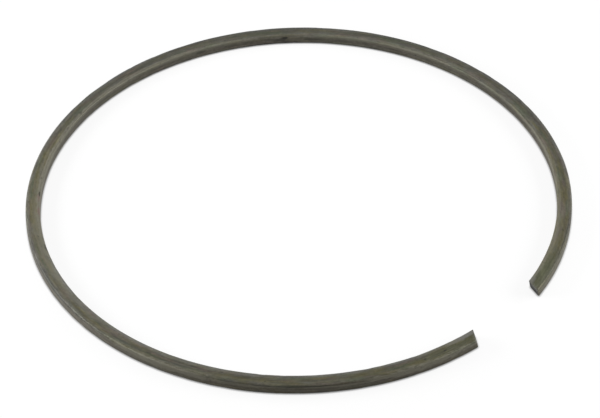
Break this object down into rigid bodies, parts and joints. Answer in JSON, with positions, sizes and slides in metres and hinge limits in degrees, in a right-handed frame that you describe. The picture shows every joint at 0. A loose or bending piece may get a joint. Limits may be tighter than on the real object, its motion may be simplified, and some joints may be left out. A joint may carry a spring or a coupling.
{
  "type": "internal snap ring",
  "caption": "Open retaining ring of rectangular spring steel wire with rounded corners and slant-sheared ends, for a groove inside a bore.",
  "frame": {"origin": "on the ring's axis, at half its thickness", "axes": "+Z along the ring's axis; the gap between the ends is centred on -Y"},
  "size_m": [0.13, 0.1292, 0.0028],
  "materials": {
    "spring_steel": "bare drawn spring wire, dark olive-grey with dried oil, rubbed brighter on its corners"
  },
  "bodies": {
    "root": {"snap_ring": "spring_steel"}
  },
  "joints": []
}
